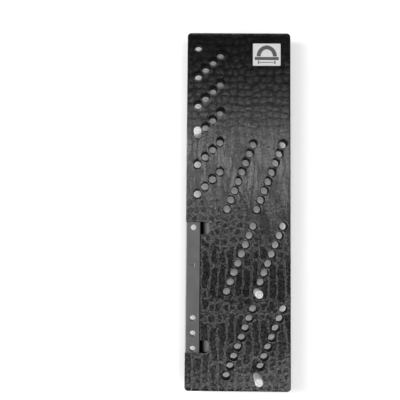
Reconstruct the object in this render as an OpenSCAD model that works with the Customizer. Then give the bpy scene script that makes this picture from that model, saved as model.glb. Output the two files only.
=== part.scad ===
// Handle positioning jig: a stiff flat plate with two families of stop holes, three loose stop pins
// and a steel guide bar that drops into a pocket on the left edge and steers the drill.
// The datum is the axis of the bar's first guide hole, at the plate's upper face.
// +X runs across the plate to the right, +Y up along it, +Z out of the upper face.
// Every stop distance is measured from the datum to the side of the pin that the door's edge meets.

/* [Plate] */
// Thickness of the plate
plate_t = 12; // [10:0.5:16]
// Radius of the plate's four corners, seen from above
corner_r = 4; // [2:0.5:7]
// Rounding along the plate's upper and lower edges
edge_round = 1; // [0.4:0.1:1.5]
// From the datum line to the left edge, and from the outermost side stop hole to the right edge
side_margin = 8; // [7:0.5:14]
// From the last stop hole to the plate's end, at the top and at the bottom
end_margin = 16; // [10:0.5:24]

/* [Stop distances] */
// Shortest stop distance, both in height and to the side
stop_min = 32; // [28:0.5:40]
// Step from one height stop to the next
height_step = 8; // [7.6:0.1:10]
// Number of height stop holes
height_holes = 21; // [13:1:25]
// Number of columns that the height stop holes are spread over
height_columns = 4; // [3:1:5]
// Distance between those columns
height_column_step = 8; // [7:0.5:9]
// From the datum line to the first of those columns
height_column_x = 4; // [2:0.5:6]
// Step from one side stop to the next
side_step = 4; // [3.5:0.1:5]
// Side stop holes in one slanted row
side_rows = 8; // [5:1:9]
// Slanted rows side by side in one group
side_columns = 2; // [1:1:3]
// Height from one hole of a slanted row to the next
side_row_pitch = 10; // [9.5:0.1:12]
// Groups of slanted rows, one above the other
side_groups = 3; // [2:1:3]
// Height from the top hole of one group to the bottom hole of the next
side_group_gap = 18; // [14:0.5:24]
// From the last guide hole down to the lowest side stop hole
side_below_guides = 28; // [20:0.5:40]

/* [Stop pins] */
// Diameter of a stop pin
pin_d = 8; // [6:0.1:9]
// How much wider than the pin its hole is
pin_fit = 0.1; // [0.05:0.01:0.3]
// Bevel at each mouth of a stop hole
hole_bevel = 0.6; // [0.2:0.1:1]
// How far a pin stands above the plate
pin_above = 25; // [15:0.5:40]
// How far a pin reaches below the plate, past the door's face
pin_below = 12; // [8:0.5:20]
// Bevel at both ends of a pin
pin_bevel = 1; // [0.5:0.1:1.5]
// Height stop in use, counted from the shortest
height_stop = 8; // [0:1:12]
// Side stop in use, counted from the shortest
side_stop = 8; // [0:1:9]

/* [Guide bar] */
// Width of the bar
bar_w = 15; // [12:0.5:15.5]
// Thickness of the bar
bar_t = 8; // [6:0.1:8.5]
// Bevel along the bar's edges
bar_bevel = 0.5; // [0.2:0.1:1]
// Bore of a guide hole
guide_d = 6; // [4:0.1:8]
// Bevel at the mouth of a guide hole
guide_bevel = 0.2; // [0.1:0.05:0.5]
// From the first guide hole to the second
span_1 = 96; // [80:0.5:104]
// From the first guide hole to the third
span_2 = 112; // [110:0.5:118]
// From the first guide hole to the fourth
span_3 = 128; // [126:0.5:140]
// Metal past the first guide hole
bar_top_margin = 5.5; // [5:0.1:8]
// Metal past the last guide hole
bar_bottom_margin = 4; // [3.5:0.1:8]

/* [Pocket] */
// Gap between the bar and each wall of its pocket
bar_gap = 0.5; // [0.2:0.05:0.6]
// How far the bar's face lies below the plate's face
bar_sink = 0; // [0:0.1:0.5]
// Hole through the pocket's floor below each guide hole
relief_d = 8; // [7:0.1:9]
// Length of a finger scoop along the bar
scoop_len = 13.5; // [11:0.5:18]
// How far a finger scoop reaches from the pocket's wall
scoop_reach = 9.7; // [7:0.1:12]
// Radius of a scoop's hollow, across the bar
scoop_r = 9; // [8.8:0.1:12]
// Radius of a scoop's corners, seen from above
scoop_corner_r = 4.5; // [2:0.5:5]

/* [Magnets] */
// Diameter of a magnet
magnet_d = 10; // [6:0.5:12]
// Thickness of a magnet
magnet_t = 3; // [2:0.1:3]
// Gap round a magnet, and above it below the bar
magnet_fit = 0.1; // [0.05:0.01:0.2]
// From a magnet to the guide hole at its end of the long span
magnet_inset = 24; // [14:0.5:36]

/* [Hidden] */

$fn = 64;
// Overshoot of a cut past the face that it opens
past = 1;

pin_r = pin_d / 2;
hole_r = (pin_d + pin_fit) / 2;

// Side stop holes of one group, and the height from one group to the next
side_holes = side_rows * side_columns;
group_pitch = (side_rows - 1) * side_row_pitch + side_group_gap;
lowest_row_y = -(span_3 + side_below_guides);

// Place of a height stop: its distance sets the height, and the columns are taken in turn
function height_spot(stop) = [
    height_column_x + height_column_step * (stop % height_columns),
    stop_min + height_step * stop + pin_r
];

// Place of a side stop: its distance sets the place across, and each slanted row starts at the bottom again
function side_spot(stop, group) = [
    stop_min + side_step * stop + pin_r,
    lowest_row_y + side_row_pitch * (stop % side_rows) + group_pitch * group
];

height_spots = [for (stop = [0 : height_holes - 1]) height_spot(stop)];
side_spots = [for (group = [0 : side_groups - 1], stop = [0 : side_holes - 1]) side_spot(stop, group)];

// The plate ends a margin past the outermost holes
left_x = -side_margin;
right_x = side_spot(side_holes - 1, 0)[0] + side_margin;
top_y = height_spot(height_holes - 1)[1] + end_margin;
bottom_y = lowest_row_y - end_margin;

// The bar and its pocket
guide_spots = [0, -span_1, -span_2, -span_3];
bar_top_y = bar_top_margin;
bar_bottom_y = -span_3 - bar_bottom_margin;
pocket_top_y = bar_top_y + bar_gap;
pocket_bottom_y = bar_bottom_y - bar_gap;
pocket_wall_x = bar_w / 2 + bar_gap;
pocket_depth = bar_t + bar_sink;

// Magnets lie in the pocket's floor, between the first two guide holes
magnet_spots = [-magnet_inset, magnet_inset - span_1];

// Bar of section width by height with rounded long edges, drawn as a flat outline about its middle
module rounded_section(width, height, radius) {
    square([width - 2 * radius, height], center = true);
    square([width, height - 2 * radius], center = true);
    for (side = [-1, 1], end = [-1, 1])
        translate([side * (width / 2 - radius), end * (height / 2 - radius)]) circle(radius);
}

// One rounded corner of the blank: half of the edge's section turned about the corner's centre
module blank_corner() {
    rotate_extrude()
        intersection() {
            rounded_section(2 * corner_r, plate_t, edge_round);
            translate([0, -plate_t / 2]) square([corner_r, plate_t]);
        }
}

// The plate before it is drilled and milled
module plate_blank() {
    width = right_x - left_x;
    length = top_y - bottom_y;
    translate([(left_x + right_x) / 2, (top_y + bottom_y) / 2, -plate_t / 2]) {
        rotate([90, 0, 0])
            linear_extrude(length - 2 * corner_r, center = true)
                rounded_section(width, plate_t, edge_round);
        rotate([90, 0, 90])
            linear_extrude(width - 2 * corner_r, center = true)
                rounded_section(length, plate_t, edge_round);
        for (side = [-1, 1], end = [-1, 1])
            translate([side * (width / 2 - corner_r), end * (length / 2 - corner_r), 0])
                blank_corner();
    }
}

// A drilled hole from one face to the other, bevelled at both mouths
module drilled_hole(radius, bevel, top_z, bottom_z) {
    rotate_extrude()
        polygon([
            [0, bottom_z - past],
            [radius + bevel + past, bottom_z - past],
            [radius, bottom_z + bevel],
            [radius, top_z - bevel],
            [radius + bevel + past, top_z + past],
            [0, top_z + past]
        ]);
}

// Finger scoop beside the bar: a hollow round about an axis along the bar, with round corners
module finger_scoop(top_end_y) {
    lift = scoop_r - pocket_depth;
    hollow_x = pocket_wall_x + scoop_reach - sqrt(scoop_r * scoop_r - lift * lift);
    corner_x = pocket_wall_x + scoop_reach - scoop_corner_r;
    intersection() {
        translate([hollow_x, top_end_y + past, lift])
            rotate([90, 0, 0]) cylinder(h = scoop_len + 2 * past, r = scoop_r);
        translate([0, top_end_y - scoop_len, -pocket_depth])
            linear_extrude(pocket_depth + past) {
                square([corner_x, scoop_len]);
                translate([0, scoop_corner_r])
                    square([pocket_wall_x + scoop_reach, scoop_len - 2 * scoop_corner_r]);
                for (y = [scoop_corner_r, scoop_len - scoop_corner_r])
                    translate([corner_x, y]) circle(scoop_corner_r);
            }
    }
}

// Pocket for the bar, open at the plate's left edge, with its scoops, drill reliefs and magnet recesses
module bar_pocket() {
    translate([left_x - past, pocket_bottom_y, -pocket_depth])
        cube([pocket_wall_x - left_x + past, pocket_top_y - pocket_bottom_y, pocket_depth + past]);
    finger_scoop(pocket_top_y);
    finger_scoop(pocket_bottom_y + scoop_len);
    for (y = guide_spots)
        translate([0, y, -plate_t - past]) cylinder(h = plate_t + past, d = relief_d);
    for (y = magnet_spots)
        translate([0, y, -pocket_depth - magnet_t - magnet_fit])
            cylinder(h = magnet_t + magnet_fit + past, d = magnet_d + 2 * magnet_fit);
}

module jig_plate() {
    color([0.10, 0.10, 0.10])
        difference() {
            plate_blank();
            for (spot = concat(height_spots, side_spots))
                translate(spot) drilled_hole(hole_r, hole_bevel, 0, -plate_t);
            bar_pocket();
        }
}

// Flat bar with bevelled long edges, drilled square through at each guide place
module guide_bar() {
    half_w = bar_w / 2;
    half_t = bar_t / 2;
    color([0.42, 0.42, 0.42])
        difference() {
            translate([0, bar_top_y, -bar_sink - half_t])
                rotate([90, 0, 0])
                    linear_extrude(bar_top_y - bar_bottom_y)
                        polygon([
                            [-half_w + bar_bevel, -half_t],
                            [half_w - bar_bevel, -half_t],
                            [half_w, -half_t + bar_bevel],
                            [half_w, half_t - bar_bevel],
                            [half_w - bar_bevel, half_t],
                            [-half_w + bar_bevel, half_t],
                            [-half_w, half_t - bar_bevel],
                            [-half_w, -half_t + bar_bevel]
                        ]);
            for (y = guide_spots)
                translate([0, y, 0]) drilled_hole(guide_d / 2, guide_bevel, -bar_sink, -pocket_depth);
        }
}

// Turned pin with bevelled ends, standing through its hole
module stop_pin(spot) {
    bottom_z = -plate_t - pin_below;
    color([0.80, 0.80, 0.80])
        translate(spot)
            rotate_extrude()
                polygon([
                    [0, bottom_z],
                    [pin_r - pin_bevel, bottom_z],
                    [pin_r, bottom_z + pin_bevel],
                    [pin_r, pin_above - pin_bevel],
                    [pin_r - pin_bevel, pin_above],
                    [0, pin_above]
                ]);
}

module height_stop_pin() {
    stop_pin(height_spot(height_stop));
}

module upper_side_stop_pin() {
    stop_pin(side_spot(side_stop, 1));
}

module lower_side_stop_pin() {
    stop_pin(side_spot(side_stop, 0));
}

// Disc magnet on the bottom of its recess, just clear of the bar above it
module bar_magnet(y) {
    color([0.70, 0.70, 0.72])
        translate([0, y, -pocket_depth - magnet_t - magnet_fit])
            cylinder(h = magnet_t, d = magnet_d);
}

module upper_bar_magnet() {
    bar_magnet(magnet_spots[0]);
}

module lower_bar_magnet() {
    bar_magnet(magnet_spots[1]);
}

jig_plate();
guide_bar();
height_stop_pin();
upper_side_stop_pin();
lower_side_stop_pin();
upper_bar_magnet();
lower_bar_magnet();
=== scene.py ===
"""Handle positioning jig: the finishes and the fine relief, on the frame of the construction model."""

import math

import bpy
import numpy as np
from bpy.props import FloatProperty, FloatVectorProperty, IntProperty, PointerProperty
from mathutils import Euler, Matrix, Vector
from mathutils.geometry import delaunay_2d_cdt
from mathutils.kdtree import KDTree


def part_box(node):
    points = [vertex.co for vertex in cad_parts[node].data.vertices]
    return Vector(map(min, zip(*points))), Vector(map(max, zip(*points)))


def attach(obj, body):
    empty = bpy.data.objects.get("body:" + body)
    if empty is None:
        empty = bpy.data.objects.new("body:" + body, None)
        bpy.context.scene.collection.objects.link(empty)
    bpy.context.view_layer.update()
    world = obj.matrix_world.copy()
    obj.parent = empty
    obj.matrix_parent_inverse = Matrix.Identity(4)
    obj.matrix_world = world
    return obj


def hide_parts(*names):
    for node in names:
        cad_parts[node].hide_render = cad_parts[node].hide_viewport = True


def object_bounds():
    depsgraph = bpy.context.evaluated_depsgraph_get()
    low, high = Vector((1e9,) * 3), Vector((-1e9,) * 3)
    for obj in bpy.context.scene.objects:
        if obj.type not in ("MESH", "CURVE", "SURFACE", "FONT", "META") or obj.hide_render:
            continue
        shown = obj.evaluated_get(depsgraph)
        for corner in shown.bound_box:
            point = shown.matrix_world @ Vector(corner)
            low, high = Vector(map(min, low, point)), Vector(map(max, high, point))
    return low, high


bl_info = {
    "name": "Handle positioning jig",
    "version": (1, 0, 0),
    "blender": (4, 5, 0),
    "location": "3D View > Sidebar > Jig",
    "description": "Dresses a handle positioning jig: embossed plate, stamped bar, turned pins and label",
    "category": "Object",
}

# The frame, and what is read from it once
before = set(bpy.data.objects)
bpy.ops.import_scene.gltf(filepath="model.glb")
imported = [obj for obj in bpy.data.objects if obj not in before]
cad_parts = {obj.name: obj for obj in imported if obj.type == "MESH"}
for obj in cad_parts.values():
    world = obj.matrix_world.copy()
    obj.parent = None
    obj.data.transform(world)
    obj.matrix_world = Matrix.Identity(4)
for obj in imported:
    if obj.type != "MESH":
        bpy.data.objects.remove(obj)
CAD_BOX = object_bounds()
ROOT = "root"
MM = 0.001

PLATE_LOW, PLATE_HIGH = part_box("jig_plate")
BAR_LOW, BAR_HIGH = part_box("guide_bar")
FLOOR_Z = CAD_BOX[0][2]

# Step of the grid on which doubled points are joined, and how close to a height a flat face lies
WELD_STEP = 0.5e-6
LEVEL_SLACK = 2e-6


# Settings that a user would change

def length(name, description, default, low, high):
    """A length in metres, whose default and limits are given in millimetres."""
    return FloatProperty(name=name, description=description, default=default * MM, min=low * MM,
                         max=high * MM, subtype="DISTANCE", unit="LENGTH", precision=5)


def colour(name, description, default):
    return FloatVectorProperty(name=name, description=description, default=default, size=3,
                               min=0, max=1, subtype="COLOR")


class PlateSettings(bpy.types.PropertyGroup):
    """Sizes and colours of the embossed plate"""

    cell_width: length("Cell width", "Width of a long cell of the embossing", 8.9, 2, 20)
    cell_length: length("Cell length", "Length of a long cell of the embossing", 38, 4, 60)
    small_cell: length("Small cell", "Size of the round cells between the long ones", 8, 1, 12)
    relief_depth: length("Relief depth", "How far the cells lie below the veins", 0.16, 0, 1)
    mesh_pitch: length("Mesh pitch", "Distance between the points of the embossed face", 0.82, 0.6, 4)
    edge_fade: length("Edge fade", "Width over which the relief dies out at holes and edges", 1.0, 0.2, 5)
    cell_colour: colour("Cell colour", "Colour of the cells' floors", (0.002, 0.002, 0.002))
    vein_colour: colour("Vein colour", "Colour of the raised veins", (0.058, 0.058, 0.058))
    # Painted light: the colour the scoops' hollows are lightened towards, away from the bar, where they
    # catch the light
    hollow_light_colour: colour("Hollow colour", "Paler colour of the scoops' hollows, away from the bar",
                          (0.26, 0.26, 0.26))
    milled_colour: colour("Milled colour", "Colour of the cut walls, bores and pocket",
                          (0.002, 0.002, 0.002))


class BarSettings(bpy.types.PropertyGroup):
    """Sizes and colours of the steel bar, the pins and the magnets"""

    steel_colour: colour("Steel colour", "Colour of the dull steel bar", (0.096, 0.096, 0.096))
    steel_metal: FloatProperty(
        name="Steel metal", description="How metallic the bar looks, the rest being a dull skin",
        default=0.4, min=0, max=1, subtype="FACTOR")
    # The glint colour is a painted highlight on the bar's left-facing bevels, where the left lamp lights
    # them
    glint_colour: colour("Glint colour", "Colour of the bar's glinting edges", (0.55, 0.55, 0.55))
    digit_height: length("Digit height", "Height of the stamped number", 5.0, 2, 9)
    digit_stroke: length("Digit stroke", "Width of the stamped number's strokes", 0.85, 0.2, 2)
    digit_depth: length("Digit depth", "Depth of the stamped number", 0.32, 0.05, 1)
    digit_y: length("Digit place", "Place of the stamped number along the bar", -40.3, -200, 200)
    pin_colour: colour("Pin colour", "Colour of the turned stop pins", (0.80, 0.80, 0.80))
    pin_metal: FloatProperty(
        name="Pin metal", description="How metallic the pins look, the rest being a pale matt skin",
        default=0.18, min=0, max=1, subtype="FACTOR")
    pin_segments: IntProperty(
        name="Pin segments", description="Facets round a stop pin", default=72, min=16, max=160)
    ring_pitch: length("Ring pitch", "Distance between the facing rings on a pin's end", 0.45, 0.1, 2)
    magnet_colour: colour("Magnet colour", "Colour of the plated magnets", (0.72, 0.72, 0.74))


class LabelSettings(bpy.types.PropertyGroup):
    """Sizes and colours of the label"""

    width: length("Label width", "Width of the label", 30, 10, 60)
    height: length("Label height", "Height of the label", 24.4, 8, 60)
    thickness: length("Label thickness", "How far the label stands on the plate", 0.35, 0.1, 2)
    side_gap: length("Side gap", "From the label to the plate's right edge", 10.9, 2, 60)
    top_gap: length("Top gap", "From the label to the plate's upper edge", 11.8, 2, 60)
    ground_colour: colour("Ground colour", "Colour of the label's ground", (0.60, 0.60, 0.60))
    print_colour: colour("Print colour", "Colour of the label's picture", (0.058, 0.058, 0.058))


class StageSettings(bpy.types.PropertyGroup):
    """Camera and floor"""

    camera_place: FloatVectorProperty(
        name="Camera place", description="Place of the camera",
        default=(12.7 * MM, -3.3 * MM, 570.6 * MM), size=3, subtype="TRANSLATION", unit="LENGTH")
    camera_turn: FloatVectorProperty(
        name="Camera turn", description="Turn of the camera",
        default=(math.radians(3.27), math.radians(0.56), math.radians(0.47)), size=3,
        subtype="EULER", unit="ROTATION")
    camera_lens: FloatProperty(
        name="Lens", description="Focal length of the camera, in millimetres on a 36 mm film",
        default=48.0, min=10, max=300)
    floor_colour: colour("Floor colour", "Colour of the floor and backdrop", (0.90, 0.90, 0.90))
    floor_glow: FloatProperty(
        name="Floor glow", description="White that the floor shows to the camera beside its own light",
        default=0.17, min=0, max=1)


def settings(name):
    return getattr(bpy.context.scene, name)


# Node trees

class Wire:
    """A value on its way between nodes: sums and products of wires add the nodes that work them out."""

    def __init__(self, tree, socket):
        self.tree = tree
        self.socket = socket

    def maths(self, operation, *others):
        inputs = dict(enumerate((self, *others)))
        return added(self.tree, "ShaderNodeMath", 0, inputs, operation=operation)

    def __add__(self, other):
        return self.maths("ADD", other)

    def __sub__(self, other):
        return self.maths("SUBTRACT", other)

    def __rsub__(self, other):
        return added(self.tree, "ShaderNodeMath", 0, {0: other, 1: self}, operation="SUBTRACT")

    def __mul__(self, other):
        return self.maths("MULTIPLY", other)

    def __truediv__(self, other):
        return self.maths("DIVIDE", other)

    def __abs__(self):
        return self.maths("ABSOLUTE")

    def ramp(self, low, high, to_low=0.0, to_high=1.0):
        """Smooth step of the value from low to high."""
        limits = {"Value": self, "From Min": low, "From Max": high, "To Min": to_low, "To Max": to_high}
        return added(self.tree, "ShaderNodeMapRange", "Result", limits, interpolation_type="SMOOTHSTEP")


def fill(node, inputs):
    """Sets or links a node's inputs, given by name or number."""
    for key, value in inputs.items():
        if isinstance(value, Wire):
            value.tree.links.new(value.socket, node.inputs[key])
        else:
            node.inputs[key].default_value = value


def add_node(tree, kind, inputs, **fields):
    node = tree.nodes.new(kind)
    for field, value in fields.items():
        setattr(node, field, value)
    fill(node, inputs)
    return node


def added(tree, kind, output, inputs, **fields):
    """Adds a node and gives one of its outputs."""
    return Wire(tree, add_node(tree, kind, inputs, **fields).outputs[output])


def larger(first, second):
    return first.maths("MAXIMUM", second)


def smaller(first, second):
    return first.maths("MINIMUM", second)


def blend(share, first, second):
    inputs = {"Factor": share, "A": first, "B": second}
    return added(share.tree, "ShaderNodeMix", "Result", inputs, data_type="FLOAT")


def vector_maths(operation, first, second):
    return added(first.tree, "ShaderNodeVectorMath", "Vector", {0: first, 1: second}, operation=operation)


def vector_parts(vector):
    """The three numbers of a vector."""
    node = add_node(vector.tree, "ShaderNodeSeparateXYZ", {0: vector})
    return [Wire(vector.tree, socket) for socket in node.outputs]


def noise(place, per_metre, detail=2.0, roughness=0.5, output="Fac"):
    """Soft noise with so many waves to the metre, one number or one for each direction."""
    if isinstance(per_metre, tuple):
        place = vector_maths("MULTIPLY", place, per_metre)
        per_metre = 1.0
    inputs = {"Vector": place, "Scale": per_metre, "Detail": detail, "Roughness": roughness}
    return added(place.tree, "ShaderNodeTexNoise", output, inputs)


def wander(place, position, per_metre, detail, reach):
    """A place pushed sideways by a noise of the position."""
    push = vector_maths("SUBTRACT", noise(position, per_metre, detail, output="Color"), (0.5, 0.5, 0.5))
    return vector_maths("ADD", place, vector_maths("MULTIPLY", push, (reach, reach, 0.0)))


# The embossing

def capsule_edges(x, y, width, length_of_cell):
    """Distance from the rim of long round-ended cells that stand in columns, zero between them."""
    row_shift = 0.60
    end_scatter = 0.48
    crossed = x / width
    column = crossed.maths("FLOOR")
    side = (0.5 - abs(crossed - column - 0.5)) * width
    shift = added(x.tree, "ShaderNodeTexWhiteNoise", "Value", {"W": column}, noise_dimensions="1D")
    along = y / length_of_cell + (shift - 0.5) * row_shift
    ends = added(x.tree, "ShaderNodeTexVoronoi", "Distance",
                 {"W": along, "Scale": 1.0, "Randomness": end_scatter},
                 voronoi_dimensions="1D", feature="DISTANCE_TO_EDGE")
    end = ends * length_of_cell
    radius = width * 0.5
    lacking = added(x.tree, "ShaderNodeCombineXYZ", 0,
                    {"X": larger(radius - side, 0.0), "Y": larger(radius - end, 0.0)})
    reach = added(x.tree, "ShaderNodeVectorMath", "Value", {0: lacking}, operation="LENGTH")
    return radius - reach


def round_edges(place, size):
    """Distance from the rim of small round cells, below zero in the corners between them."""
    scatter = 0.6
    radius = size * 0.54
    scaled = vector_maths("MULTIPLY", place, (1 / size, 1 / size, 0.0))
    to_edge, to_middle = [
        added(place.tree, "ShaderNodeTexVoronoi", "Distance",
              {"Vector": scaled, "Scale": 1.0, "Randomness": scatter},
              voronoi_dimensions="2D", feature=feature) * size
        for feature in ("DISTANCE_TO_EDGE", "F1")]
    return smaller(to_edge, radius - to_middle)


def hide_pattern(position):
    """The embossing at a place in metres, as four wires: height (1 on a ridge, 0 in a cell), dullness,
    fine grain, and the share of the calmer part above the cells.

    Long round-ended cells stand in rows over the lower end, with bands of small round cells between the
    rows. Above them the face has only upright streaks, and at the upper end soft wavy scales. The same
    nodes shape the mesh and colour it.
    """
    look = settings("jig_plate_look")
    drift_reach = 8 * MM
    ripple_reach = 2.2 * MM
    rows_lift = 20 * MM
    lower_rows_lift = 60 * MM
    patch_reach = 60 * MM

    # Where one kind turns into the next, along the plate or across it
    lower_rows_top = (-88 * MM, -85 * MM)
    band_foot = (-102 * MM, -98 * MM)
    band_top = (-80 * MM, -76 * MM)
    small_foot, small_slant = (-17 * MM, -9 * MM), 0.22
    corner_side = (42 * MM, 50 * MM)
    corner_top = (-146 * MM, -140 * MM)
    calm_foot, calm_slant = (-4 * MM, 56 * MM), 0.45
    scales_foot = (70 * MM, 145 * MM)
    dulling_foot = (140 * MM, 200 * MM)

    drifted = wander(position, position, 38.0, 1.0, drift_reach)
    warped = wander(drifted, position, 240.0, 2.0, ripple_reach)
    x, y, _ = vector_parts(warped)
    row_place = y + rows_lift + y.ramp(*lower_rows_top, lower_rows_lift, 0.0)
    long_rim = capsule_edges(x, row_place, look.cell_width, look.cell_length)
    small_rim = round_edges(warped, look.small_cell)

    # Small cells lie in a band, above a slanted line and in the lower right corner
    patchy = y + (noise(position, 45.0) - 0.5) * patch_reach
    band = patchy.ramp(*band_foot) * patchy.ramp(*band_top, 1.0, 0.0)
    above = (patchy + x * small_slant).ramp(*small_foot)
    corner = x.ramp(*corner_side) * patchy.ramp(*corner_top, 1.0, 0.0)
    small_share = larger(band, larger(above, corner))
    calm_share = (patchy + x * calm_slant).ramp(*calm_foot)
    scale_share = patchy.ramp(*scales_foot)

    slow = noise(position, 85.0)
    grain = noise(position, 620.0, 3.0, 0.7)
    clumps = noise(position, 430.0, 3.0, 0.6).ramp(0.40, 0.60)
    cell_height, cell_dull = cell_relief(x, y, blend(small_share, long_rim, small_rim),
                                         small_share, slow, clumps)
    soft = blend(scale_share, streak_relief(drifted, x, clumps),
                 small_rim.ramp(-0.8 * MM, 2.8 * MM) * 0.42 + clumps * 0.12)
    soft_dull = scale_share.ramp(0.0, 1.0, 0.12, 0.34) * y.ramp(*dulling_foot, 1.0, 0.35)
    height = blend(calm_share, cell_height, soft)
    dull = blend(calm_share, cell_dull, soft * soft_dull)
    return height, dull, grain, calm_share


def cell_relief(x, y, rim, small_share, slow, clumps):
    """Height and dullness where cells lie: a fine ridge runs round each, with grainy ground between."""
    widest = small_share.ramp(0.0, 1.0, 1.6 * MM, 0.9 * MM)
    depth_in = rim - slow.ramp(0.38, 0.68, 0.5 * MM, widest)
    ground = depth_in.ramp(-0.6 * MM, 0.9 * MM, 1.0, 0.0)
    ridge = abs(depth_in + 0.35 * MM).ramp(0.1 * MM, 1.0 * MM, 1.0, 0.0)
    shallow = small_share.ramp(0.0, 1.0, 0.05, 0.14)

    # Clumps fade towards the right and at the lower end, where the ridges stand out more
    low_end = (-146 * MM, -130 * MM)
    clumps_side = (10 * MM, 60 * MM)
    ridges_side = (20 * MM, 95 * MM)
    speckled = x.ramp(*clumps_side, 0.36, 0.22) * y.ramp(*low_end, 0.25, 1.0)
    strength = x.ramp(*ridges_side, 0.46, 0.24) * slow.ramp(0.35, 0.60, 0.7, 1.15)
    strength = strength * y.ramp(*low_end, 1.9, 1.0)
    dull = ridge * strength + (ground * 0.12 + clumps * (ground * 0.10 + speckled) + shallow)
    height = ridge * 0.25 + ground * (clumps * 0.15 + 0.45) + shallow
    return height, dull


def streak_relief(drifted, x, clumps):
    """Height over the calm middle: fine upright streaks, broken by a few long cracks."""
    streak = noise(drifted, (210.0, 30.0, 0.0), 4.0, 0.62).ramp(0.40, 0.60)
    crack = abs(noise(drifted, (125.0, 17.0, 0.0), 1.0) - 0.5).ramp(0.012, 0.070, 0.05, 1.0)
    weight = x.ramp(20 * MM, 95 * MM, 0.60, 0.44)
    return (streak * weight + clumps * 0.36) * crack


# Materials

def new_material(name):
    """A material whose tree holds its shader and its output, and the place on the object."""
    material = bpy.data.materials.new(name)
    material.use_nodes = True
    tree = material.node_tree
    tree.nodes.clear()
    shader = tree.nodes.new("ShaderNodeBsdfPrincipled")
    add_node(tree, "ShaderNodeOutputMaterial", {"Surface": Wire(tree, shader.outputs["BSDF"])})
    place = added(tree, "ShaderNodeTexCoord", "Object", {})
    return material, shader, place


def mixed_colour(share, first, second):
    """One colour turning into another, each a plain colour or a wire."""
    inputs = {"Factor": share}
    for number, given in ((6, first), (7, second)):
        inputs[number] = given if isinstance(given, Wire) else (*given, 1.0)
    return added(share.tree, "ShaderNodeMix", 2, inputs, data_type="RGBA")


def shaded(given, factor):
    """A colour made darker or lighter."""
    return tuple(channel * factor for channel in given)


def bump(height, distance, strength):
    inputs = {"Height": height, "Distance": distance, "Strength": strength}
    return added(height.tree, "ShaderNodeBump", "Normal", inputs)


def face_direction(tree):
    return vector_parts(added(tree, "ShaderNodeNewGeometry", "True Normal", {}))


def embossed_film():
    """Black film: glossy cell floors, duller and paler veins, and a speckle that breaks the gloss."""
    look = settings("jig_plate_look")
    material, shader, place = new_material("embossed_film")
    height, dull, grain, calm = hide_pattern(place)
    pores = added(place.tree, "ShaderNodeTexVoronoi", "Distance",
                  {"Vector": place, "Scale": 760.0, "Randomness": 0.9},
                  voronoi_dimensions="2D", feature="DISTANCE_TO_EDGE")
    crease = pores.ramp(0.02, 0.20)
    speckle = grain.ramp(0.34, 0.64) * (crease * 0.55 + 0.60)
    clouds = noise(place, 300.0, 3.0).ramp(0.36, 0.64)
    share = blend(calm, clouds * 0.62 + 0.12, clouds * 0.08 + 0.32)
    gloss = speckle * share + height * calm.ramp(0.0, 1.0, 0.34, 0.50)
    fill(shader, {
        "Base Color": mixed_colour(dull * speckle, look.cell_colour, look.vein_colour),
        "Roughness": dull * 0.18 + 0.20,
        "Specular IOR Level": gloss + calm.ramp(0.0, 1.0, 0.06, 0.10),
        "Normal": bump(grain * 0.7 + crease * 0.4, 0.045 * MM, 0.6),
    })
    return material


def scooped_core():
    """The scoops' hollows: the same dull black, with painted light making them paler where they run out
    away from the bar.
    """
    look = settings("jig_plate_look")
    material, shader, place = new_material("scooped_core")
    marks = noise(place, (1500.0, 200.0, 1500.0))
    across = vector_parts(place)[0]
    # Painted light: the hollow is lightened with distance from the bar, where its curve catches the lamps
    pale = across.ramp(BAR_HIGH.x + 2.5 * MM, BAR_HIGH.x + 8.0 * MM) * marks.ramp(0.2, 0.7, 0.5, 1.0)
    fill(shader, {
        "Base Color": mixed_colour(pale, look.milled_colour, look.hollow_light_colour),
        "Specular IOR Level": pale * 0.5,
        "Roughness": marks.ramp(0.3, 0.7, 0.50, 0.60),
        "Normal": bump(marks, 0.03 * MM, 0.4),
    })
    return material


def milled_core():
    """The plate's cut walls: dull black with fine cutter marks."""
    look = settings("jig_plate_look")
    material, shader, place = new_material("milled_core")
    marks = noise(place, (300.0, 300.0, 2600.0))
    fill(shader, {
        "Base Color": mixed_colour(marks, look.milled_colour, shaded(look.milled_colour, 2.2)),
        "Roughness": marks.ramp(0.3, 0.7, 0.48, 0.62),
        "Specular IOR Level": 0.07,
        "Normal": bump(marks, 0.04 * MM, 0.4),
    })
    return material


def dull_steel():
    """Steel bar: even dull grey with fine lines along it, painted glint on the left bevels, painted shade
    in the number.
    """
    look = settings("jig_metal_look")
    # Near black painted into the stamped grooves as their shade
    groove_shade_colour = (0.008, 0.008, 0.008)
    material, shader, place = new_material("dull_steel")
    lines = noise(place, (5200.0, 90.0, 5200.0))
    shade = lines * 0.35 + noise(place, 70.0, 3.0) * 0.65
    even = mixed_colour(shade.ramp(0.35, 0.65), shaded(look.steel_colour, 0.86),
                        shaded(look.steel_colour, 1.12))
    facing_x, _, facing_z = face_direction(place.tree)
    height = vector_parts(place)[2]
    # Painted highlight: faces turned to the left, the bevels that the left lamp lights, take the pale
    # glint colour
    leftward = facing_x.ramp(-0.5, -0.3, 1.0, 0.0) * facing_x.ramp(-0.95, -0.9)
    # Painted shade: upward faces low in the stamped grooves are darkened to near black
    sunk = height.ramp(-0.16 * MM, -0.03 * MM, 1.0, 0.0) * facing_z.ramp(0.4, 0.6)
    sunk = sunk * height.ramp(-1.0 * MM, -0.5 * MM)
    glinted = mixed_colour(leftward, even, look.glint_colour)
    fill(shader, {
        "Base Color": mixed_colour(sunk * (1.0 - leftward), glinted, groove_shade_colour),
        "Roughness": shade.ramp(0.3, 0.7, 0.50, 0.60),
        "Metallic": look.steel_metal,
        "Normal": bump(lines, 0.015 * MM, 0.5),
    })
    return material


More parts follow.
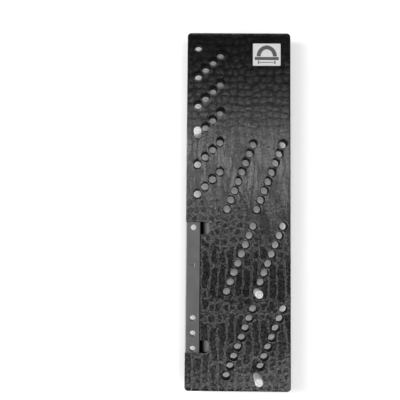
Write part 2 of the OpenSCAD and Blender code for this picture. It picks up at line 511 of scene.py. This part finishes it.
def turned_metal():
    """Stop pins: bright metal with the lathe's fine rings round them and a cloudy skin."""
    look = settings("jig_metal_look")
    material, shader, place = new_material("turned_metal")
    rings = noise(place, (60.0, 60.0, 7000.0))
    clouds = noise(place, 640.0, 3.0)
    shade = rings.ramp(0.35, 0.65) * 0.3 + clouds.ramp(0.44, 0.56) * 0.7
    # Painted shade: the ends, lit more than the sides by the lamps above, are made darker
    sides = face_direction(place.tree)[2].ramp(0.8, 0.95, 1.0, 0.5)
    bright = shade * 0.6 + (sides - 0.45)
    fill(shader, {
        "Base Color": mixed_colour(bright, shaded(look.pin_colour, 0.42), look.pin_colour),
        "Roughness": rings.ramp(0.3, 0.7, 0.30, 0.42),
        "Metallic": look.pin_metal,
        "Normal": bump(rings, 0.02 * MM, 0.6),
    })
    return material


def plated_metal():
    """Magnets: thin bright plating, slightly uneven."""
    look = settings("jig_metal_look")
    material, shader, place = new_material("plated_metal")
    clouds = noise(place, 400.0)
    fill(shader, {
        "Base Color": mixed_colour(clouds, shaded(look.magnet_colour, 0.85), look.magnet_colour),
        "Roughness": clouds.ramp(0.3, 0.7, 0.14, 0.24),
        "Metallic": 1.0,
        "Normal": bump(clouds, 0.01 * MM, 0.3),
    })
    return material


def label_ground():
    """Pale satin foil with a faint mottle."""
    look = settings("jig_label_look")
    material, shader, place = new_material("label_ground")
    mottle = noise(place, 1500.0)
    fill(shader, {
        "Base Color": mixed_colour(mottle, shaded(look.ground_colour, 0.93), look.ground_colour),
        "Roughness": mottle.ramp(0.3, 0.7, 0.38, 0.48),
        "Normal": bump(mottle, 0.01 * MM, 0.3),
    })
    return material


def label_ink():
    """Printed picture, slightly broken in the solid areas."""
    look = settings("jig_label_look")
    material, shader, place = new_material("label_ink")
    specks = noise(place, 2600.0)
    broken = specks.ramp(0.45, 0.75)
    fill(shader, {
        "Base Color": mixed_colour(broken, look.print_colour, shaded(look.print_colour, 1.9)),
        "Roughness": specks.ramp(0.3, 0.7, 0.40, 0.55),
    })
    return material


def studio_floor():
    """Pale floor that shows white to the camera and to mirrors and keeps the object's shadow."""
    look = settings("jig_stage_look")
    material, shader, place = new_material("studio_floor")
    rays = add_node(place.tree, "ShaderNodeLightPath", {}).outputs
    camera, glossy, through = [
        Wire(place.tree, rays[kind]) for kind in ("Is Camera Ray", "Is Glossy Ray", "Is Transmission Ray")]
    fill(shader, {
        "Base Color": (*look.floor_colour, 1.0),
        "Roughness": 0.9,
        "Specular IOR Level": 0.0,
        "Emission Color": (1.0, 1.0, 1.0, 1.0),
        "Emission Strength": larger(larger(camera, glossy), through) * look.floor_glow,
    })
    return material


# Meshes

def new_mesh(name, points, faces):
    mesh = bpy.data.meshes.new(name)
    mesh.from_pydata(points, [], faces)
    return mesh


def smooth(mesh, degrees):
    """Shades a mesh smooth, with its edges sharp above an angle."""
    mesh.polygons.foreach_set("use_smooth", np.ones(len(mesh.polygons), bool))
    mesh.set_sharp_from_angle(angle=math.radians(degrees))


def link_piece(name, mesh):
    """Puts a mesh into the scene as an object at the origin."""
    mesh.update()
    piece = bpy.data.objects.new(name, mesh)
    bpy.context.scene.collection.objects.link(piece)
    return piece


def merged_cad_mesh(node):
    """Points and triangles of a CAD node with its doubled points joined."""
    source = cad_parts[node].data
    source.calc_loop_triangles()
    points = np.empty(len(source.vertices) * 3)
    source.vertices.foreach_get("co", points)
    points = points.reshape(-1, 3)
    triangles = np.empty(len(source.loop_triangles) * 3, int)
    source.loop_triangles.foreach_get("vertices", triangles)
    keys = np.round(points / WELD_STEP).astype(np.int64)
    _, first, joined = np.unique(keys, axis=0, return_index=True, return_inverse=True)
    triangles = joined.reshape(-1)[triangles].reshape(-1, 3)
    distinct = (triangles != np.roll(triangles, 1, axis=1)).all(axis=1)
    return points[first], triangles[distinct]


def rim_loops(triangles):
    """Closed loops of the edges that only one of the triangles has, each as a list of point numbers."""
    following = {}
    edges = np.concatenate([triangles[:, [0, 1]], triangles[:, [1, 2]], triangles[:, [2, 0]]])
    have = set(map(tuple, edges.tolist()))
    for start, end in have:
        if (end, start) not in have:
            following[start] = end
    loops = []
    while following:
        start, point = following.popitem()
        loop = [start]
        while point != start:
            loop.append(point)
            point = following.pop(point)
        loops.append(loop)
    return loops


def inside(outline, spots):
    """Which spots lie inside a closed outline, by counting the edges to their right."""
    result = np.zeros(len(spots), bool)
    ahead = np.roll(outline, -1, axis=0)
    for (ax, ay), (bx, by) in zip(outline, ahead):
        if ay == by:
            continue
        crossing = (spots[:, 1] >= min(ay, by)) & (spots[:, 1] < max(ay, by))
        at_x = ax + (spots[:, 1] - ay) * (bx - ax) / (by - ay)
        result ^= crossing & (spots[:, 0] < at_x)
    return result


class FlatRegion:
    """The plate's upper face: one outline with round holes in it."""

    def __init__(self, points, loops):
        flat = points[:, :2]
        areas = [abs(self.signed_area(flat[loop])) for loop in loops]
        outer = int(np.argmax(areas))
        self.outline = flat[loops[outer]]
        self.holes = []
        for number, loop in enumerate(loops):
            if number != outer:
                centre = flat[loop].mean(axis=0)
                radius = np.linalg.norm(flat[loop] - centre, axis=1).max()
                self.holes.append((centre, radius))

    @staticmethod
    def signed_area(outline):
        ahead = np.roll(outline, -1, axis=0)
        return 0.5 * float(np.sum(outline[:, 0] * ahead[:, 1] - ahead[:, 0] * outline[:, 1]))

    def holds(self, spots):
        """Which spots lie on the face, with the rims of its holes."""
        within_rim = 0.999
        kept = inside(self.outline, spots)
        for centre, radius in self.holes:
            kept &= np.linalg.norm(spots - centre, axis=1) > radius * within_rim
        return kept


def face_grid(region, rim_spots, pitch):
    """Grid of points in the region and how far each is from its rim, none nearer than half a pitch."""
    low = region.outline.min(axis=0)
    high = region.outline.max(axis=0)
    columns = np.arange(low[0] + pitch / 2, high[0], pitch)
    rows = np.arange(low[1] + pitch / 2, high[1], pitch * math.sqrt(3) / 2)
    grid = np.stack(np.meshgrid(columns, rows), -1)
    grid[1::2, :, 0] += pitch / 2
    spots = grid.reshape(-1, 2)
    spots = spots[region.holds(spots)]
    tree = KDTree(len(rim_spots))
    for number, spot in enumerate(rim_spots):
        tree.insert((spot[0], spot[1], 0.0), number)
    tree.balance()
    distance = np.array([tree.find((x, y, 0.0))[2] for x, y in spots])
    clear = distance > pitch * 0.5
    return spots[clear], distance[clear]


def dense_outline(outline, pitch):
    """Points along an outline no further apart than a pitch."""
    result = []
    for start, end in zip(outline, np.roll(outline, -1, axis=0)):
        steps = max(1, int(math.ceil(np.linalg.norm(end - start) / pitch)))
        for step in range(steps):
            result.append(start + (end - start) * step / steps)
    return np.array(result)


def fine_face(points, loops, pitch):
    """Triangles that fill a flat face from its rim's points and a new grid, numbered after the points.

    Gives the triangles, the grid's points and their distance from the rim.
    """
    region = FlatRegion(points, loops)
    rim_numbers = np.concatenate([np.array(loop) for loop in loops])
    rim_spots = np.concatenate([dense_outline(points[loop][:, :2], pitch / 2) for loop in loops])
    spots, distance = face_grid(region, rim_spots, pitch)

    flat = [Vector(spot) for spot in points[rim_numbers][:, :2]] + [Vector(spot) for spot in spots]
    rim_edges = []
    start = 0
    for loop in loops:
        count = len(loop)
        rim_edges += [(start + step, start + (step + 1) % count) for step in range(count)]
        start += count
    nearness = 1e-9
    placed, _, faces, origins, _, _ = delaunay_2d_cdt(flat, rim_edges, [], 0, nearness, True)
    numbers = np.concatenate([rim_numbers, len(points) + np.arange(len(spots))])
    numbers = numbers[[given[0] for given in origins]]
    faces = np.array(faces)
    placed = np.array([tuple(spot) for spot in placed])
    faces = numbers[faces[region.holds(placed[faces].mean(axis=1))]]

    # Those that look down are turned over
    corners = np.concatenate([points[:, :2], spots])[faces]
    turn = np.cross(corners[:, 1] - corners[:, 0], corners[:, 2] - corners[:, 0])
    faces[turn < 0] = faces[turn < 0][:, ::-1]
    return faces, spots, distance


def embossed_plate_mesh(pitch, fade_width):
    """The CAD plate with its upper face drawn again as a fine mesh, and how far the relief may go."""
    points, triangles = merged_cad_mesh("jig_plate")
    top = PLATE_HIGH.z
    on_top = np.abs(points[triangles][:, :, 2] - top).max(axis=1) < LEVEL_SLACK
    faces, spots, distance = fine_face(points, rim_loops(triangles[on_top]), pitch)
    all_points = np.concatenate([points, np.column_stack([spots, np.full(len(spots), top)])])
    all_faces = np.concatenate([triangles[~on_top], faces])
    relief = np.concatenate([np.zeros(len(points)), np.clip(distance / fade_width, 0.0, 1.0)])
    hollow, film = plate_skins(all_points[all_faces])
    film[len(all_faces) - len(faces):] = True

    mesh = new_mesh("embossed_plate", all_points.tolist(), all_faces.tolist())
    mesh.attributes.new("relief", "FLOAT", "POINT").data.foreach_set("value", relief)
    mesh.attributes.new("hollow", "BOOLEAN", "FACE").data.foreach_set("value", hollow)
    mesh.attributes.new("film", "BOOLEAN", "FACE").data.foreach_set("value", film)
    return mesh


def plate_skins(sides):
    """Which triangles lie in the scoops' hollows, and which carry film: the back and the outer bevel."""
    least_rise = 0.2
    hollow_top = -1.0 * MM
    hollow_floor = BAR_LOW.z - 0.1 * MM
    hollow_left = BAR_HIGH.x + 0.4 * MM
    bevel_width = 2.2 * MM
    bevel_foot = PLATE_HIGH.z - 2.5 * MM
    facing = np.cross(sides[:, 1] - sides[:, 0], sides[:, 2] - sides[:, 0])
    upward = facing[:, 2] > least_rise * np.linalg.norm(facing, axis=1)
    middle = sides.mean(axis=1)
    x, z = middle[:, 0], middle[:, 2]
    hollow = upward & (z < hollow_top) & (z > hollow_floor) & (x > hollow_left)
    back = np.abs(sides[:, :, 2] - PLATE_LOW.z).max(axis=1) < LEVEL_SLACK
    border = np.minimum(middle[:, :2] - np.array(PLATE_LOW)[:2], np.array(PLATE_HIGH)[:2] - middle[:, :2])
    bevel = upward & (border.min(axis=1) < bevel_width) & (z > bevel_foot)
    return hollow, back | bevel


def relief_tree():
    """Geometry Nodes that press the cells of the embossing into the face and give it its film."""
    tree = bpy.data.node_groups.new("press_embossing", "GeometryNodeTree")
    inputs = {"Geometry": "Geometry", "Depth": "Float", "Film": "Material", "Hollow": "Material"}
    for name, kind in inputs.items():
        tree.interface.new_socket(name, in_out="INPUT", socket_type="NodeSocket" + kind)
    tree.interface.new_socket("Geometry", in_out="OUTPUT", socket_type="NodeSocketGeometry")
    given = add_node(tree, "NodeGroupInput", {}).outputs

    def attribute(name, kind):
        return added(tree, "GeometryNodeInputNamedAttribute", "Attribute", {"Name": name}, data_type=kind)

    height, _, grain, _ = hide_pattern(added(tree, "GeometryNodeInputPosition", 0, {}))
    sunk = (height - 1.0 + grain * -0.25) * attribute("relief", "FLOAT")
    offset = added(tree, "ShaderNodeCombineXYZ", 0, {"Z": sunk * Wire(tree, given["Depth"])})
    moved = added(tree, "GeometryNodeSetPosition", 0,
                  {"Geometry": Wire(tree, given["Geometry"]), "Offset": offset})
    dressed = added(tree, "GeometryNodeRealizeInstances", 0, {"Geometry": moved})
    for name, material in (("film", "Film"), ("hollow", "Hollow")):
        dressed = added(tree, "GeometryNodeSetMaterial", 0,
                        {"Geometry": dressed, "Selection": attribute(name, "BOOLEAN"),
                         "Material": Wire(tree, given[material])})
    add_node(tree, "NodeGroupOutput", {0: dressed})
    return tree


def keep_modified(piece, modifier):
    """Makes what a modifier gives the piece's plain mesh, and takes the modifier off."""
    depsgraph = bpy.context.evaluated_depsgraph_get()
    mesh = bpy.data.meshes.new_from_object(piece.evaluated_get(depsgraph), depsgraph=depsgraph)
    piece.modifiers.remove(modifier)
    piece.data = mesh


def run_tree(piece, tree, values):
    """Runs a node tree on a piece with named inputs."""
    modifier = piece.modifiers.new("shape", "NODES")
    modifier.node_group = tree
    for item in tree.interface.items_tree:
        if item.in_out == "INPUT" and item.name in values:
            modifier[item.identifier] = values[item.name]
    keep_modified(piece, modifier)


def cut_away(piece, cutter):
    """Cuts one object out of another and deletes the cutter."""
    modifier = piece.modifiers.new("cut", "BOOLEAN")
    modifier.operation = "DIFFERENCE"
    modifier.solver = "EXACT"
    modifier.object = cutter
    keep_modified(piece, modifier)
    bpy.data.objects.remove(cutter)


def bridge(lower, upper):
    """Faces between two rings of points, one of which may be a single point."""
    count = max(len(lower), len(upper))
    faces = []
    for step in range(count):
        ahead = (step + 1) % count
        if len(lower) == 1:
            faces.append((lower[0], upper[ahead], upper[step]))
        elif len(upper) == 1:
            faces.append((lower[step], lower[ahead], upper[0]))
        else:
            faces.append((lower[step], lower[ahead], upper[ahead], upper[step]))
    return faces


def on_circle(x, y, radius, angle):
    return x + radius * math.cos(angle), y + radius * math.sin(angle)


def lathe_mesh(name, profile, centre, segments):
    """Solid turned about an upright axis, from a profile of radius and height, bottom to top."""
    points = []
    rows = []
    for radius, height in profile:
        turns = segments if radius else 1
        rows.append(range(len(points), len(points) + turns))
        for step in range(turns):
            points.append((*on_circle(*centre, radius, math.tau * step / segments), height))
    faces = []
    for lower, upper in zip(rows, rows[1:]):
        faces += bridge(lower, upper)
    return new_mesh(name, points, faces)


def slab_mesh(name, outlines, low, high, bevel=0.0):
    """Flat solids of the given outlines (anticlockwise), with a small bevel round the upper face."""
    points = []
    faces = []
    for outline in outlines:
        levels = [(outline, low), (outline, high - bevel)]
        if bevel:
            centre = np.mean(outline, axis=0)
            arms = np.array(outline) - centre
            shrunk = centre + arms * (1 - bevel / np.linalg.norm(arms, axis=1, keepdims=True))
            levels.append((shrunk.tolist(), high))
        rows = []
        for spots, height in levels:
            rows.append(range(len(points), len(points) + len(spots)))
            points += [(x, y, height) for x, y in spots]
        for lower, upper in zip(rows, rows[1:]):
            faces += bridge(lower, upper)
        faces += [tuple(reversed(rows[0])), tuple(rows[-1])]
    return new_mesh(name, points, faces)


def groove_mesh(begin, end, width, depth, top):
    """Wedge that cuts a V groove of a width and depth from one spot to another in a face at a height."""
    above = 0.5 * MM
    begin, end = Vector((*begin, 0.0)), Vector((*end, 0.0))
    along = (end - begin).normalized()
    side = Vector((-along.y, along.x, 0.0)) * (width / 2) * (1 + above / depth)
    low, high = Vector((0.0, 0.0, top - depth)), Vector((0.0, 0.0, top + above))
    points = [begin + low, begin - side + high, begin + side + high,
              end + low, end - side + high, end + side + high]
    faces = [(0, 1, 2), (3, 5, 4), (0, 3, 4, 1), (0, 2, 5, 3), (1, 4, 5, 2)]
    return new_mesh("digit_groove", points, faces)


def block(x0, y0, x1, y1):
    """Anticlockwise outline of a rectangle."""
    return [(x0, y0), (x1, y0), (x1, y1), (x0, y1)]


def rounded_rectangle(low, high, radius, steps=6):
    """Anticlockwise outline of a rectangle with round corners."""
    spots = []
    corners = ((high[0] - radius, high[1] - radius, 0), (low[0] + radius, high[1] - radius, 90),
               (low[0] + radius, low[1] + radius, 180), (high[0] - radius, low[1] + radius, 270))
    for x, y, start in corners:
        for step in range(steps + 1):
            spots.append(on_circle(x, y, radius, math.radians(start + 90 * step / steps)))
    return spots


def half_ring(middle, foot, half, rise, thick, steps=24):
    """Anticlockwise outline of a bow: out along its outer arc and back along its inner one."""
    spots = []
    for inset, turns in ((0.0, range(steps + 1)), (thick, range(steps, -1, -1))):
        for turn in turns:
            angle = math.pi * turn / steps
            x = middle + (half - inset) * math.cos(angle)
            y = foot + (rise - inset) * math.sin(angle)
            spots.append((x, y))
    return spots


# Operators, one for each piece or group of like pieces

class JIG_OT_plate(bpy.types.Operator):
    """Build the plate with its embossed upper face"""

    bl_idname = "jig.plate"
    bl_label = "Embossed plate"

    def execute(self, context):
        look = settings("jig_plate_look")
        mesh = embossed_plate_mesh(look.mesh_pitch, look.edge_fade)
        mesh.materials.append(milled_core())
        piece = link_piece("embossed_plate", mesh)
        run_tree(piece, relief_tree(), {"Depth": look.relief_depth, "Film": embossed_film(),
                                        "Hollow": scooped_core()})
        smooth(piece.data, 32)
        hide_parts("jig_plate")
        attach(piece, ROOT)
        return {"FINISHED"}


class JIG_OT_bar(bpy.types.Operator):
    """Build the steel guide bar with its stamped number"""

    bl_idname = "jig.bar"
    bl_label = "Stamped guide bar"

    def execute(self, context):
        look = settings("jig_metal_look")
        points, triangles = merged_cad_mesh("guide_bar")
        mesh = new_mesh("stamped_bar", points.tolist(), triangles.tolist())
        mesh.materials.append(dull_steel())
        piece = link_piece("stamped_bar", mesh)
        for number, (begin, end) in enumerate(self.digit_strokes(look)):
            groove = groove_mesh(begin, end, look.digit_stroke, look.digit_depth, BAR_HIGH.z)
            cut_away(piece, link_piece("digit_stroke_%d" % number, groove))
        smooth(piece.data, 25)
        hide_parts("guide_bar")
        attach(piece, ROOT)
        return {"FINISHED"}

    @staticmethod
    def digit_strokes(look):
        """Stem, flag and foot of a figure one that lies on its side, its foot towards the plate."""
        foot_x = look.digit_height * 0.28
        tip_x = foot_x - look.digit_height
        wing = look.digit_height * 0.42
        flag = look.digit_height * 0.24
        y = look.digit_y
        return (
            ((tip_x, y), (foot_x, y)),
            ((tip_x, y), (tip_x + flag, y - flag)),
            ((foot_x, y - wing), (foot_x, y + wing)),
        )


class JIG_OT_pins(bpy.types.Operator):
    """Build the three turned stop pins"""

    bl_idname = "jig.pins"
    bl_label = "Turned stop pins"

    def execute(self, context):
        look = settings("jig_metal_look")
        metal = turned_metal()
        for node in ("height_stop_pin", "upper_side_stop_pin", "lower_side_stop_pin"):
            low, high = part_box(node)
            centre = ((low.x + high.x) / 2, (low.y + high.y) / 2)
            profile = self.pin_profile((high.x - low.x) / 2, low.z, high.z, look.ring_pitch)
            mesh = lathe_mesh("turned_" + node, profile, centre, look.pin_segments)
            mesh.materials.append(metal)
            smooth(mesh, 40)
            piece = link_piece("turned_" + node, mesh)
            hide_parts(node)
            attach(piece, ROOT)
        return {"FINISHED"}

    @staticmethod
    def pin_profile(radius, low, high, ring_pitch):
        """Bevelled rod whose ends carry shallow facing rings round a small centre mark."""
        bevel = 1.0 * MM
        ease = 0.12 * MM
        ring_depth = 0.05 * MM
        centre_depth = 0.10 * MM
        flat = radius - bevel
        rings = max(3, int(flat / ring_pitch))
        end = [(0.0, centre_depth)]
        for ring in range(1, 2 * rings):
            end.append((flat * ring / (2 * rings), ring_depth if ring % 2 else 0.0))
        end += [(flat, 0.0), (radius - ease, bevel - ease), (radius, bevel + ease)]
        rises = [(r, low + depth) for r, depth in end]
        body = [(radius, low + (high - low) * share) for share in (0.25, 0.5, 0.75)]
        falls = [(r, high - depth) for r, depth in reversed(end)]
        return rises + body + falls


class JIG_OT_magnets(bpy.types.Operator):
    """Plate the two magnets under the bar"""

    bl_idname = "jig.magnets"
    bl_label = "Magnets"

    def execute(self, context):
        metal = plated_metal()
        for node in ("upper_bar_magnet", "lower_bar_magnet"):
            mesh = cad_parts[node].data
            mesh.materials.clear()
            mesh.materials.append(metal)
        return {"FINISHED"}


class JIG_OT_label(bpy.types.Operator):
    """Build the label with a plain picture of a handle"""

    bl_idname = "jig.label"
    bl_label = "Label"

    def execute(self, context):
        look = settings("jig_label_look")
        corner = 0.8 * MM
        sunk = 0.45 * MM
        bevel = 0.08 * MM
        high = (PLATE_HIGH.x - look.side_gap, PLATE_HIGH.y - look.top_gap)
        low = (high[0] - look.width, high[1] - look.height)
        top = PLATE_HIGH.z + look.thickness
        outline = rounded_rectangle(low, high, corner)
        mesh = slab_mesh("label_plate", [outline], PLATE_HIGH.z - sunk, top, bevel)
        mesh.materials.append(label_ground())
        label = link_piece("label_plate", mesh)
        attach(label, ROOT)
        ink = self.ink_mesh(low, high, top)
        ink.materials.append(label_ink())
        printed = link_piece("label_print", ink)
        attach(printed, ROOT)
        return {"FINISHED"}

    @staticmethod
    def ink_mesh(low, high, top):
        """A bow handle on a board, with the distance of its two screws, in broad flat shapes."""
        margin = 2.0 * MM
        left, right = low[0] + margin, high[0] - margin
        foot, head = low[1] + margin, high[1] - margin
        middle = (low[0] + high[0]) / 2
        board_top = low[1] + 9.6 * MM
        board_thick = 3.4 * MM
        bow_half = 11.0 * MM
        bow_thick = 4.4 * MM
        bow_foot = board_top + 0.6 * MM
        screw = bow_half - bow_thick / 2
        tick_half = 0.7 * MM
        tick_top = board_top - 4.0 * MM
        line_foot = foot + 1.1 * MM
        line_thick = 0.8 * MM
        line_half = screw - 1.4 * MM
        ink_depth = 0.02 * MM
        ink_rise = 0.03 * MM

        outlines = [block(left, board_top - board_thick, right, board_top)]
        for x in (middle - screw, middle + screw):
            outlines.append(block(x - tick_half, foot, x + tick_half, tick_top))
        outlines.append(block(middle - line_half, line_foot, middle + line_half, line_foot + line_thick))
        outlines.append(half_ring(middle, bow_foot, bow_half, head - bow_foot, bow_thick))
        return slab_mesh("label_print", outlines, top - ink_depth, top + ink_rise)


class JIG_OT_stage(bpy.types.Operator):
    """Set the floor, the lights and the camera"""

    bl_idname = "jig.stage"
    bl_label = "Stage"

    def execute(self, context):
        scene = context.scene
        scene.view_settings.view_transform = "Standard"
        self.add_backdrop()
        self.add_lights(scene)
        self.add_camera(scene)
        return {"FINISHED"}

    @staticmethod
    def add_backdrop():
        """Round floor that sweeps up into a wall all round."""
        flat, sweep, wall = 1.9, 0.6, 2.2
        steps = 8
        profile = [(0.0, FLOOR_Z), (flat, FLOOR_Z)]
        for step in range(1, steps + 1):
            angle = math.radians(90 * step / steps)
            profile.append((flat + sweep * math.sin(angle), FLOOR_Z + sweep * (1 - math.cos(angle))))
        profile.append((flat + sweep, FLOOR_Z + wall))
        mesh = lathe_mesh("studio_floor", profile, (0.0, 0.0), 96)
        mesh.flip_normals()
        mesh.materials.append(studio_floor())
        smooth(mesh, 60)
        floor = link_piece("studio_floor", mesh)

    @staticmethod
    def add_lights(scene):
        """Three lamps overhead, which the glossy face mirrors, and one at each side."""
        middle = (PLATE_LOW + PLATE_HIGH) / 2
        target = Vector((middle.x, middle.y, 0.0))
        down = Vector((0.0, 0.0, -1.0))
        # Name, place, size, power, and the direction of those that aren't aimed at the plate
        lamps = (
            ("strip_light", Vector((middle.x, 0.265, 1.5)), (1.5, 0.20), 4.2, down),
            ("wide_light", Vector((middle.x, 0.24, 1.52)), (1.5, 0.38), 3.0, down),
            ("lower_light", Vector((0.30, -0.83, 1.5)), (1.1, 0.55), 8.2, down),
            ("left_light", Vector((-1.2, 0.25, 1.22)), (0.45, 1.0), 18.5, None),
            ("right_light", Vector((1.1, -0.1, 1.75)), (0.8, 1.2), 6.5, None),
        )
        for name, place, size, power, direction in lamps:
            lamp = bpy.data.lights.new(name, "AREA")
            lamp.shape = "RECTANGLE"
            lamp.size, lamp.size_y = size
            lamp.energy = power
            light = bpy.data.objects.new(name, lamp)
            light.location = place
            light.rotation_euler = (direction or target - place).to_track_quat("-Z", "Y").to_euler()
            scene.collection.objects.link(light)
        world = bpy.data.worlds.new("studio_air")
        world.use_nodes = True
        fill(world.node_tree.nodes["Background"], {"Color": (1.0, 1.0, 1.0, 1.0), "Strength": 0.05})
        scene.world = world

    @staticmethod
    def add_camera(scene):
        look = settings("jig_stage_look")
        lens = bpy.data.cameras.new("photo_camera")
        lens.lens = look.camera_lens
        lens.sensor_width = 36.0
        lens.clip_start = 0.01
        lens.clip_end = 50.0
        camera = bpy.data.objects.new("photo_camera", lens)
        camera.location = look.camera_place
        camera.rotation_euler = Euler(look.camera_turn)
        scene.collection.objects.link(camera)
        scene.camera = camera


class JIG_PT_panel(bpy.types.Panel):
    """Lists the jig's pieces and their settings"""

    bl_idname = "JIG_PT_panel"
    bl_label = "Handle positioning jig"
    bl_space_type = "VIEW_3D"
    bl_region_type = "UI"
    bl_category = "Jig"

    def draw(self, context):
        layout = self.layout
        for operator, looks in PIECES:
            box = layout.box()
            box.operator(operator.bl_idname)
            for name in looks:
                group = getattr(context.scene, name)
                for field in group.bl_rna.properties:
                    if field.identifier not in {"rna_type", "name"}:
                        box.prop(group, field.identifier)


PIECES = (
    (JIG_OT_stage, ("jig_stage_look",)),
    (JIG_OT_plate, ("jig_plate_look",)),
    (JIG_OT_bar, ("jig_metal_look",)),
    (JIG_OT_pins, ()),
    (JIG_OT_magnets, ()),
    (JIG_OT_label, ("jig_label_look",)),
)
LOOKS = (
    ("jig_plate_look", PlateSettings),
    ("jig_metal_look", BarSettings),
    ("jig_label_look", LabelSettings),
    ("jig_stage_look", StageSettings),
)


def register():
    for name, group in LOOKS:
        bpy.utils.register_class(group)
        setattr(bpy.types.Scene, name, PointerProperty(type=group))
    for operator, _ in PIECES:
        bpy.utils.register_class(operator)
    bpy.utils.register_class(JIG_PT_panel)


def unregister():
    bpy.utils.unregister_class(JIG_PT_panel)
    for operator, _ in reversed(PIECES):
        bpy.utils.unregister_class(operator)
    for name, group in reversed(LOOKS):
        delattr(bpy.types.Scene, name)
        bpy.utils.unregister_class(group)


def main():
    register()
    bpy.ops.jig.stage()
    bpy.ops.jig.plate()
    bpy.ops.jig.bar()
    bpy.ops.jig.pins()
    bpy.ops.jig.magnets()
    bpy.ops.jig.label()


if __name__ == "__main__":
    main()
